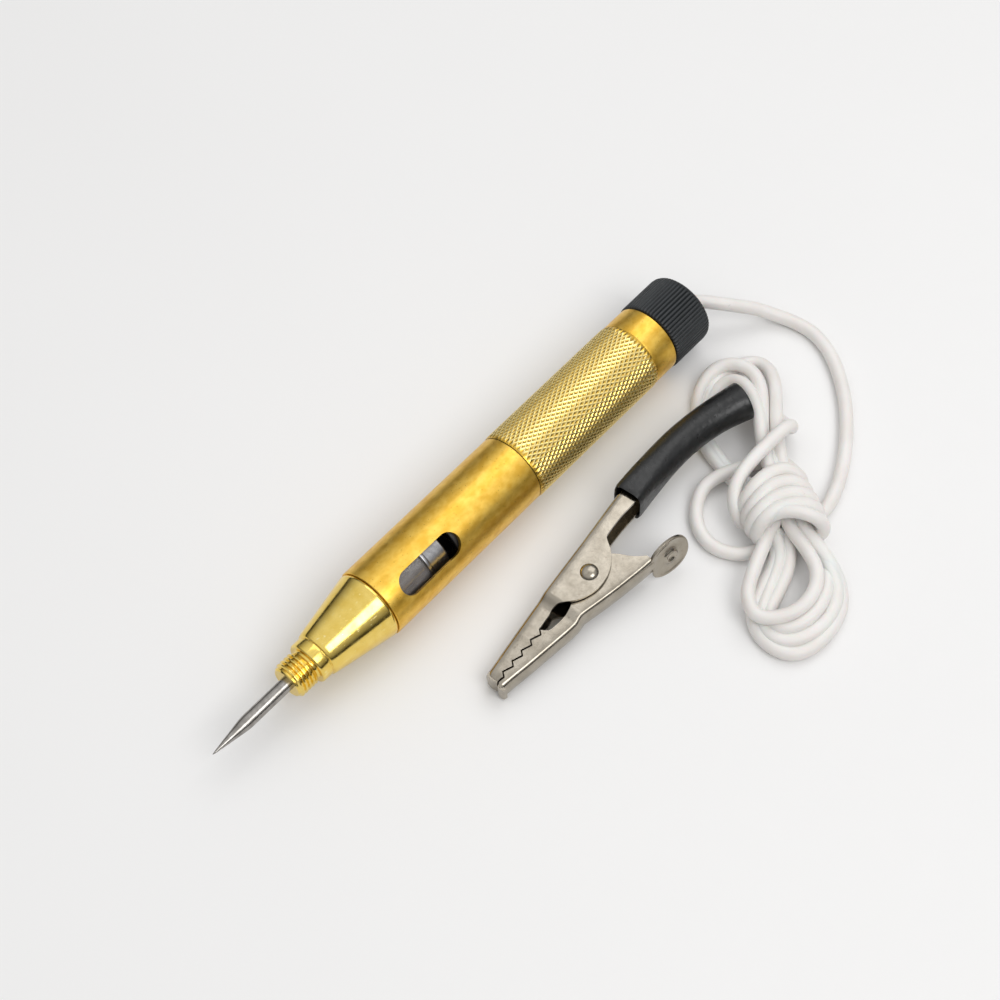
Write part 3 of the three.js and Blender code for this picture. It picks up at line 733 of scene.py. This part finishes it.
def folded_channel(stations, back, edge, half, side):
    """Points and faces of a folded sheet channel. side is +1 with its spine on the +v side."""
    sections = []
    for u in stations:
        b, e, h = eased(back, u), edge(u), eased(half, u)
        fold = min(0.7, abs(b - e) - 0.3)
        bulge = 0.25 + 0.06 * h
        outer = [
            (e, h), (b - side * fold, h), (b - side * 0.2, h - 0.25), (b + side * bulge * 0.6, h * 0.55),
            (b + side * bulge, 0), (b + side * bulge * 0.6, -h * 0.55), (b - side * 0.2, -h + 0.25),
            (b - side * fold, -h), (e, -h),
        ]
        inner = [
            (e, -h + PLATE), (b - side * (fold + 0.1), -h + PLATE),
            (b - side * (PLATE + 0.05), -h + PLATE + 0.3), (b + side * (bulge - PLATE), 0),
            (b - side * (PLATE + 0.05), h - PLATE - 0.3), (b - side * (fold + 0.1), h - PLATE),
            (e, h - PLATE),
        ]
        sections.append([(u, v, w) for v, w in rounded_line(outer) + rounded_line(inner)])
    n = len(sections[0])
    points = [p for s in sections for p in s]
    faces = [(i * n + k, i * n + (k + 1) % n, (i + 1) * n + (k + 1) % n, (i + 1) * n + k)
             for i in range(len(sections) - 1) for k in range(n)]
    faces += [tuple(range(n)), tuple(range(len(points) - n, len(points)))[::-1]]
    return points, faces


def slab(outline, low, high):
    """A plate in the u, v plane from w low to w high."""
    n = len(outline)
    points = [(u, v, w) for w in (low, high) for u, v in outline]
    faces = [tuple(range(n)), tuple(range(n, 2 * n))[::-1]]
    return points, faces + [(i, (i + 1) % n, n + (i + 1) % n, n + i) for i in range(n)]


def merged(*parts):
    points, faces = [], []
    for more, joined in parts:
        faces += [tuple(i + len(points) for i in f) for f in joined]
        points += list(more)
    return points, faces


def stations_of(edge_table, first, last):
    line = {round(u, 3) for u, _ in edge_table} | {first, last}
    for a, b in zip(edge_table, edge_table[1:]):
        line.add(round((a[0] + b[0]) / 2, 3))
    line |= {round(u, 3) for u in np.arange(last, 12.0, 0.35)}
    line = sorted((u for u in line if last <= u <= first), reverse=True)
    kept = [line[0]]
    for u in line[1:]:
        if kept[-1] - u > 0.05:
            kept.append(u)
    return kept


def thumb_pad():
    """A plate with a round end, a raised rim and a pressed dimple, turned away from the spine."""
    centre, turn, lean = -12.2, math.radians(-11), math.radians(14)
    outline = [(-8.2, 2.2), (-9.2, 3.15), (-10.6, 3.8), (-12.6, 3.98), (-14.2, 3.6), (-15.4, 2.75),
               (-16.1, 1.5), (-16.3, 0)]
    outline += [(u, -w) for u, w in outline[-2::-1]]
    ring = evened(np.array([(u, w, 0) for u, w in rounded_line(outline) + [(-8.2, 2.2)]]), 0.35)[:-1]
    n = len(ring)
    # Rows from the rim in: a share of the outline or a radius about the dimple, and a height.
    rim = [(1.0, None, -0.25), (1.0, None, 0.0), (0.94, None, 0.05), (0.88, None, 0.02),
           (0.84, None, -0.08)]
    dimple = [(None, 1.75, -0.08), (None, 1.55, 0.02), (None, 1.35, 0.22), (None, 1.1, 0.28),
              (None, 0.9, 0.22), (None, 0.7, 0.02), (None, 0.35, -0.04)]
    steps = rim + dimple
    points = []
    for share, radius, height in steps:
        for u, w, _ in ring:
            du, dw = u - centre, w
            length = math.hypot(du, dw)
            k = share if share is not None else radius / length
            points.append((du * k + centre, height, dw * k))
    under = len(points)
    points += [(u, -PLATE, w) for u, w, _ in ring]
    top = len(points)
    points.append((centre, -0.06, 0))
    faces = []
    rows = [under, *(i * n for i in range(len(steps)))]
    for a, b in zip(rows, rows[1:]):
        faces += [(a + k, a + (k + 1) % n, b + (k + 1) % n, b + k) for k in range(n)]
    last = rows[-1]
    faces += [(last + k, last + (k + 1) % n, top) for k in range(n)]
    faces.append(tuple(range(under, under + n))[::-1])
    turned_points = []
    for u, v, w in points:
        du = u + 8.2
        v, w = v * math.cos(lean) - w * math.sin(lean), v * math.sin(lean) + w * math.cos(lean)
        turned_points.append((du * math.cos(turn) - v * math.sin(turn) - 8.2,
                              du * math.sin(turn) + v * math.cos(turn) + 7.35, w))
    return turned_points, faces


def in_clip(made):
    made.data.transform(CLIP)
    face_outwards(made)
    return made


def clip_jaws():
    teeth = tooth_line(0)
    edge_table = [(24.8, 0.05), *teeth, *FIXED_EDGE]
    edge = lambda u: straight(edge_table, u) if u > 12.4 else eased(edge_table, u)
    body = folded_channel(stations_of(edge_table, 24.8, -24.5), FIXED_BACK, edge, FIXED_HALF, -1)
    tip = slab([(24.25, -2.3), (24.2, 0.0), (25.0, 0.1), (25.2, -0.9), (25.0, -2.1)], -1.75, 1.75)
    made = in_clip(add_mesh("jaw_fixed", *merged(body, tip), "nickel", 40))
    bevelled(made, 0.09, 2, 38)
    keep(made, "tester", "nickel", "clip_fixed_jaw")

    gap = 0.35
    table = [(25.4, 0.75), (24.8, 0.05 + gap), *tooth_line(gap), *MOVING_EDGE]
    upper = lambda u: straight(table, u) if u > 12.4 else eased(table, u)
    body = folded_channel(stations_of(table, 25.4, -8.8), MOVING_BACK, upper, MOVING_HALF, 1)
    tip = slab([(24.95, 0.45), (25.5, 0.6), (25.65, 1.2), (25.5, 1.9), (24.9, 2.1)], -1.75, 1.75)
    made = in_clip(add_mesh("jaw_moving", *merged(body, tip), "nickel", 40))
    bevelled(made, 0.09, 2, 38)
    keep(made, "clip_jaw", "nickel", "clip_moving_jaw")
    pad = in_clip(add_mesh("jaw_thumb_pad", *thumb_pad(), "nickel", 50))
    bevelled(pad, 0.05, 2, 50)
    keep(pad, "clip_jaw", "nickel")


def clip_rivet():
    head = [(3.93, 0.0), (3.93, 0.35), (3.86, 0.75), (3.72, 1.12), (3.5, 1.42), (3.32, 1.56),
            (3.22, 1.6), (3.22, 1.15)]
    profile = [(-w, r) for w, r in head] + [(w, r) for w, r in head[::-1]]
    sides = 48
    points, faces = [], []
    for w, r in profile:
        points += [(r * math.cos(2 * math.pi * k / sides), r * math.sin(2 * math.pi * k / sides), w)
                   for k in range(sides)]
    for i in range(len(profile) - 1):
        near, far = i * sides, (i + 1) * sides
        faces += [(near + k, near + (k + 1) % sides, far + (k + 1) % sides, far + k) for k in range(sides)]
    made = add_mesh("rivet_pin", points, faces, "nickel", 50)
    work = bmesh.new()
    work.from_mesh(made.data)
    bmesh.ops.remove_doubles(work, verts=work.verts, dist=0.01 * MM)
    work.to_mesh(made.data)
    work.free()
    return keep(in_clip(made), "tester", "nickel", "clip_rivet")


def clip_spring():
    """The coil with its fixed leg, and the leg that presses on the moving jaw and turns with it."""
    radius, wire_r = 2.15, 0.32
    per = 24
    coil = [(radius * math.cos(math.pi / 2 - 2 * math.pi * i / per),
             radius * math.sin(math.pi / 2 - 2 * math.pi * i / per), 1.2 - 0.04 * i) for i in range(-2, 61)]
    held = [*coil, (-3.0, -2.5, -1.22), (-8.5, -3.7, -1.25)]
    made = wire("torsion_spring", spline(held, 0.2), wire_r, "spring_steel", 4, CLIP)
    keep(made, "tester", "spring_steel", "clip_spring")
    pressed = [(-8.2, 5.8, 1.25), (-4.6, 4.2, 1.25), (-1.7, 2.6, 1.22), (0, radius, 1.2)]
    leg = wire("torsion_spring_leg", spline(pressed, 0.2), wire_r, "spring_steel", 4, CLIP)
    return keep(leg, "clip_jaw", "spring_steel")


# ---- sleeve over the clip's handle --------------------------------------------------
# Rings: x, y, z, half width, half height, squareness (2 is round).
SLEEVE = [
    (-21.9, 18.85, 5.14, 2.85, 4.0, 4.0),
    (-25.5, 18.5, 5.3, 2.9, 3.8, 3.4),
    (-29.0, 18.25, 5.4, 3.0, 3.4, 2.6),
    (-32.5, 18.05, 5.45, 3.1, 3.15, 2.0),
    (-36.0, 18.0, 5.5, 3.1, 3.1, 2.0),
    (-39.5, 18.2, 5.55, 3.1, 3.1, 2.0),
    (-43.0, 18.65, 5.6, 3.15, 3.1, 2.0),
    (-46.5, 19.4, 5.7, 3.25, 3.15, 2.0),
    (-49.3, 20.25, 5.85, 3.45, 3.35, 2.0),
    (-51.5, 21.0, 6.0, 3.65, 3.5, 2.0),
]


def clip_sleeve():
    wall, sides = 0.5, 72
    count = 64
    table = np.array(SLEEVE, float)
    at = np.linspace(0, len(table) - 1, count)
    rings = np.stack([np.interp(at, np.arange(len(table)), table[:, k]) for k in range(6)], axis=1)
    for _ in range(14):
        rings[1:-1] = (rings[:-2] + 2 * rings[1:-1] + rings[2:]) / 4
    middle = rings[:, :3]

    def skin(i, shrink, push=0.0):
        ahead, behind = middle[min(i + 1, count - 1)], middle[max(i - 1, 0)]
        along = (ahead - behind) / np.linalg.norm(ahead - behind)
        across = np.cross((0, 0, 1), along)
        across /= np.linalg.norm(across)
        up = np.cross(along, across)
        a, b, squareness = rings[i, 3] - shrink, rings[i, 4] - shrink, rings[i, 5]
        loop = []
        for k in range(sides):
            c, s = math.cos(2 * math.pi * k / sides), math.sin(2 * math.pi * k / sides)
            c, s = (math.copysign(abs(t) ** (2 / squareness), t) for t in (c, s))
            loop.append(tuple(middle[i] + along * push + a * c * across + b * s * up))
        return loop

    loops = [skin(0, wall - 0.12, 0.08), skin(0, 0.14, -0.06)]
    loops += [skin(i, 0.0) for i in range(1, count - 1)]
    loops += [skin(count - 1, 0.02, -0.1), skin(count - 1, 0.12, 0.03), skin(count - 1, wall - 0.12, 0.03)]
    loops += [skin(i, wall) for i in range(count - 2, 0, -1)]
    n = len(loops)
    points = [p for loop in loops for p in loop]
    faces = []
    for i in range(n):
        near, far = i * sides, (i + 1) % n * sides
        faces += [(near + k, near + (k + 1) % sides, far + (k + 1) % sides, far + k) for k in range(sides)]
    made = add_mesh("sleeve_tube", points, faces, "black_rubber", 60)
    face_outwards(made)
    return keep(made, "tester", "black_rubber", "clip_sleeve")


# ---- the lead -----------------------------------------------------------------------
# One length of cable, from inside the cap to the clip's handle. The first stretch has the
# CAD's points. The rest is wound into the tied hank, and ends in the sleeve as the CAD's does.
FROM_CAP = [
    (-32, 0, 6.95), (-40, 0, 6.95), (-50, 0, 6.95), (-56, 0, 6.95), (-60.2, 0.05, 6.95), (-62.6, 1.3, 6.85),
    (-64.6, 3.7, 6.5), (-67.6, 6.6, 5.2), (-70.8, 9.4, 3.4), (-73, 12.4, 1.9), (-74.4, 15.9, 1.3),
    (-74.7, 19.6, 1.25), (-73.6, 23.6, 1.25), (-71, 28, 1.25), (-67.4, 32.2, 1.25), (-63.1, 36, 1.25),
    (-58.4, 39.3, 1.25), (-54.1, 41.7, 1.25), (-50, 43.4, 1.25),
]
SIDE_LOOP = [
    (-45.2, 44.4, 1.25), (-39.8, 43.6, 1.25), (-34.5, 41.6, 1.25), (-29.6, 39.7, 1.25), (-27.7, 37.3, 1.25),
    (-26.8, 34.7, 1.25), (-27.3, 31.6, 1.25), (-29.0, 28.9, 1.25), (-31.6, 26.9, 1.3), (-34.8, 25.7, 1.6),
    (-37.6, 26.2, 2.2), (-40.2, 27.6, 2.8), (-43.6, 29.3, 2.4), (-47.0, 30.9, 1.6), (-48.6, 33.6, 1.4),
    (-47.2, 36.6, 2.0), (-43.7, 39.0, 2.8), (-39.6, 39.4, 3.8),
]
UPPER_END_LOOP = [
    (-34.8, 40.4, 4.2), (-30.4, 41.9, 4.2), (-25.4, 43.7, 4.2), (-21.7, 45.6, 4.2), (-19.6, 49.0, 4.2),
    (-21.5, 52.0, 4.4), (-25.4, 53.9, 4.6), (-30.1, 53.5, 4.6), (-33.5, 51.2, 4.4), (-35.6, 47.2, 4.2),
    (-37.2, 42.6, 4.4),
]
INNER_TOP_LOOP = [
    (-39.9, 38.7, 5.0), (-43.4, 33.6, 4.9), (-47.3, 28.9, 4.6), (-49.5, 26.7, 4.6), (-51.4, 24.8, 4.7),
    (-53.2, 22.6, 4.8), (-54.7, 20.2, 4.6), (-55.6, 17.8, 4.0), (-55.4, 15.5, 2.8), (-53.2, 14.4, 1.5),
    (-49.2, 15.3, 1.25), (-45.3, 17.7, 1.25), (-42.6, 20.8, 1.25), (-41.2, 24.4, 1.25), (-40.2, 29.4, 1.3),
    (-38.6, 34.6, 2.4),
]
MIDDLE_END_LOOP = [
    (-36.1, 39.5, 2.6), (-33.1, 44.0, 1.7), (-26.4, 46.9, 1.4), (-21.7, 48.8, 1.5), (-19.4, 51.6, 1.7),
    (-19.6, 54.8, 2.0), (-22.4, 57.1, 2.2), (-26.6, 58.1, 2.2), (-30.6, 57.6, 2.2), (-34.0, 55.5, 2.3),
    (-36.3, 52.0, 2.8), (-38.0, 47.4, 3.2), (-40.2, 42.4, 3.2),
]
MIDDLE_TOP_LOOP = [
    (-43.6, 37.2, 3.4), (-46.4, 31.2, 3.8), (-49.2, 27.5, 4.0), (-52.0, 25.1, 4.1), (-54.9, 22.8, 4.2),
    (-57.2, 20.5, 4.2), (-58.6, 18.0, 4.1), (-58.6, 15.3, 3.9), (-57.4, 12.9, 3.3), (-55.3, 11.7, 2.6),
    (-52.6, 11.7, 1.9), (-49.8, 12.7, 1.4), (-46.8, 14.8, 1.25), (-44.0, 17.7, 1.25), (-41.9, 20.9, 1.3),
    (-40.7, 24.7, 1.25), (-39.6, 29.0, 1.4), (-39.6, 33.4, 2.2),
]
OUTER_END_LOOP = [
    (-38.0, 38.0, 2.4), (-35.2, 41.9, 1.7), (-31.2, 44.4, 1.3), (-25.8, 45.8, 1.3), (-21.6, 47.2, 1.25),
    (-18.9, 50.0, 1.25), (-18.0, 53.8, 1.25), (-18.9, 57.1, 1.25), (-21.4, 58.9, 1.25), (-24.9, 59.5, 1.25),
    (-28.8, 59.2, 1.25), (-32.4, 57.9, 1.3), (-35.2, 55.2, 1.9), (-36.8, 51.6, 3.0), (-37.9, 47.7, 3.9),
    (-39.4, 43.2, 4.1),
]
OUTER_TOP_LOOP = [
    (-42.4, 39.0, 3.8), (-46.4, 34.2, 3.7), (-50.3, 30.0, 3.8), (-53.8, 26.9, 3.9), (-56.9, 24.5, 3.6),
    (-60.1, 21.7, 3.0), (-62.1, 19.0, 2.3), (-62.6, 16.4, 1.5), (-61.2, 14.6, 1.25), (-58.6, 13.6, 1.25),
    (-55.6, 13.1, 1.25), (-52.2, 13.5, 1.25), (-48.9, 14.9, 1.25), (-45.6, 17.2, 1.25), (-43.1, 20.3, 1.25),
    (-41.5, 24.3, 1.3), (-40.6, 29.0, 1.4), (-40.9, 33.4, 2.2),
]
INNER_END_LOOP = [
    (-39.8, 38.0, 2.4), (-37.4, 42.4, 1.8), (-32.6, 46.4, 1.3), (-26.6, 48.5, 1.3), (-22.6, 49.7, 1.5),
    (-20.8, 51.8, 2.2), (-22.2, 54.6, 2.9), (-26.3, 55.9, 3.2), (-31.2, 55.1, 3.0), (-35.1, 52.6, 2.2),
    (-38.0, 49.4, 1.4), (-38.6, 45.6, 1.25), (-36.8, 42.4, 1.25),
]
# The wrapped turns: for each, the left limb, the crown and the right limb as (x, y).
WRAPS = [
    ((-34.3, 39.4), (-37.5, 42.5), (-40.3, 47.7)),
    ((-31.9, 39.4), (-37.7, 40.9), (-41.9, 45.3)),
    ((-32.2, 37.9), (-38.8, 39.0), (-42.9, 43.4)),
    ((-33.2, 36.3), (-40.3, 37.1), (-43.7, 41.4)),
    ((-34.2, 34.5), (-41.8, 35.1), (-44.8, 39.4)),
]
WRAP_BEND = 3.8  # bend radius of the lead at each side of the bundle
OVER_THE_LOOPS = [
    (-35.6, 37.4, 1.4), (-33.2, 35.9, 2.6), (-33.4, 33.6, 4.8), (-35.2, 31.8, 6.4), (-38.4, 30.7, 7.0),
    (-42.7, 30.3, 7.2), (-47.2, 30.3, 7.2), (-51.2, 30.4, 6.9), (-53.2, 30.5, 5.6), (-54.0, 30.2, 3.6),
    (-54.9, 28.7, 1.8), (-55.3, 26.6, 1.4), (-54.8, 24.3, 2.0), (-53.4, 22.4, 3.6), (-51.2, 21.0, 4.9),
]
TO_CLIP = [(-48.3, 20.1, 5.5), (-44.5, 19.0, 5.7), (-40, 18.4, 5.6), (-36, 18.1, 5.5), (-31.5, 18.2, 5.5)]


def wrapped_turns():
    """Each turn bends up one side of the bundle, crosses over it and goes back under it."""
    middle = CORD_R + WRAP_BEND
    line = []
    for i, (left, crown, right) in enumerate(WRAPS):
        left, crown, right = (np.array(p, float) for p in (left, crown, right))
        after = np.array(WRAPS[i + 1][0] if i + 1 < len(WRAPS) else OVER_THE_LOOPS[0][:2], float)
        pull = 2 * crown - (left + right) / 2
        width = np.linalg.norm(right - left)
        side = WRAP_BEND / width
        quarter = side * (1 - math.cos(math.pi / 4))
        lift = WRAP_BEND * math.sin(math.pi / 4)
        over = [(0, 0), (quarter, lift), (side, WRAP_BEND), (0.5, WRAP_BEND), (1 - side, WRAP_BEND),
                (1 - quarter, lift), (1, 0)]
        for t, up in over:
            x, y = (1 - t) ** 2 * left + 2 * t * (1 - t) * pull + t**2 * right
            line.append((x, y, middle + up))
        under = [(quarter, lift), (side, WRAP_BEND), (0.5, WRAP_BEND)]
        if i + 1 < len(WRAPS):
            under += [(1 - side, WRAP_BEND), (1 - quarter, lift)]
        for t, down in under:
            x, y = (1 - t) * right + t * after
            line.append((x, y, middle - down))
    return line


def lead_line():
    loops = (SIDE_LOOP + UPPER_END_LOOP + INNER_TOP_LOOP + MIDDLE_END_LOOP + MIDDLE_TOP_LOOP
             + OUTER_END_LOOP + OUTER_TOP_LOOP + INNER_END_LOOP)
    route = FROM_CAP + loops + wrapped_turns() + OVER_THE_LOOPS + TO_CLIP
    line = evened(spline(route, 0.5), 0.6)
    for _ in range(4):
        line[1:-1] = (line[:-2] + 2 * line[1:-1] + line[2:]) / 4
    line[:, 2] = np.maximum(line[:, 2], CORD_R)
    return line


def lead():
    line = lead_line()
    length = float(np.linalg.norm(np.diff(line, axis=0), axis=1).sum()) * MM
    made = wire("lead_cable", line, CORD_R, "white_pvc", 6)
    keep(made, "tester", "white_pvc", "cord_run", "cord_hank", "cord_tail")
    inside = [(-22.2 - 0.5 * i, 0, AXIS_Z) for i in range(21)]
    inner = wire("lead_inside", inside, CORD_R - 0.01, "white_pvc", 6)
    keep(inner, "tester", "white_pvc")
    return length


# ---- CAD nodes that stay ------------------------------------------------------------
KEPT = {
    "front_contact": "polished_brass",
    "contact_spring": "spring_steel",
    "rear_contact": "polished_brass",
    "lead_core": "copper",
    "cord_ferrule": "nickel",
    "cap_washer": "fibre",
    "clip_wire_core": "copper",
}


def finish_kept_nodes():
    for node, material in KEPT.items():
        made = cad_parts[node]
        made.data.materials.clear()
        made.data.materials.append(MATERIALS[material])
        bevelled(made, 0.04, 2, 40)


# ---- studio -------------------------------------------------------------------------
def floor():
    half = 3.0
    mesh = bpy.data.meshes.new("studio_floor")
    corners = [(-half, -half, 0), (half, -half, 0), (half, half, 0), (-half, half, 0)]
    mesh.from_pydata(corners, [], [(0, 1, 2, 3)])
    made = bpy.data.objects.new("studio_floor", mesh)
    made.location.z = -0.00002  # just under everything that lies on it
    bpy.context.scene.collection.objects.link(made)
    mesh.materials.append(floor_white())


def camera():
    data = bpy.data.cameras.new("camera")
    data.sensor_width = 36
    data.lens = 79.2
    data.clip_start, data.clip_end = 0.01, 20
    made = bpy.data.objects.new("camera", data)
    bpy.context.scene.collection.objects.link(made)
    place, target = Vector((142.3, 134.7, 330.3)) * MM, Vector((-10.0, -0.1, 0)) * MM
    made.location = place
    made.rotation_euler = (target - place).to_track_quat("-Z", "Y").to_euler()
    bpy.context.scene.camera = made


def area_light(name, place, target, size, watts):
    """A square soft light at a place, turned to the target; lengths in metres."""
    data = bpy.data.lights.new(name, "AREA")
    data.shape = "SQUARE"
    data.size = size
    data.energy = watts
    made = bpy.data.objects.new(name, data)
    made.location = place
    made.rotation_euler = (Vector(target) - Vector(place)).to_track_quat("-Z", "Y").to_euler()
    bpy.context.scene.collection.objects.link(made)


def sky():
    """A white tent: bright overhead, darker towards the horizon."""
    world = bpy.data.worlds.new("studio")
    world.use_nodes = True
    bpy.context.scene.world = world
    tree = world.node_tree
    coords = tree.nodes.new("ShaderNodeTexCoord")
    split = tree.nodes.new("ShaderNodeSeparateXYZ")
    ramp = tree.nodes.new("ShaderNodeValToRGB")
    tree.links.new(coords.outputs["Generated"], split.inputs["Vector"])
    tree.links.new(split.outputs["Z"], ramp.inputs["Fac"])
    tree.links.new(ramp.outputs["Color"], tree.nodes["Background"].inputs["Color"])
    stops = ramp.color_ramp.elements
    stops[0].position, stops[0].color = 0.0, (0.03, 0.028, 0.025, 1)
    stops[1].position, stops[1].color = 1.0, (0.90, 0.90, 0.90, 1)
    for at, level in ((0.14, 0.04), (0.24, 0.24), (0.5, 0.52), (0.75, 0.80)):
        stops.new(at).color = (level, level, level, 1)
    tree.nodes["Background"].inputs["Strength"].default_value = 1.0


def lights():
    middle = (-0.01, 0.02, 0.0)
    area_light("key", (0.0, 0.50, 0.66), middle, 0.42, 1.9)
    area_light("fill", (-0.50, -0.10, 0.70), middle, 0.6, 1.3)


probe_needle()
nose_cone()
barrel()
knurl()
lamp()
liner()
end_cap()
clip_jaws()
clip_rivet()
clip_spring()
clip_sleeve()
lead_length = lead()
finish_kept_nodes()
floor()
camera()
sky()
lights()
bpy.context.scene.view_settings.view_transform = "Standard"
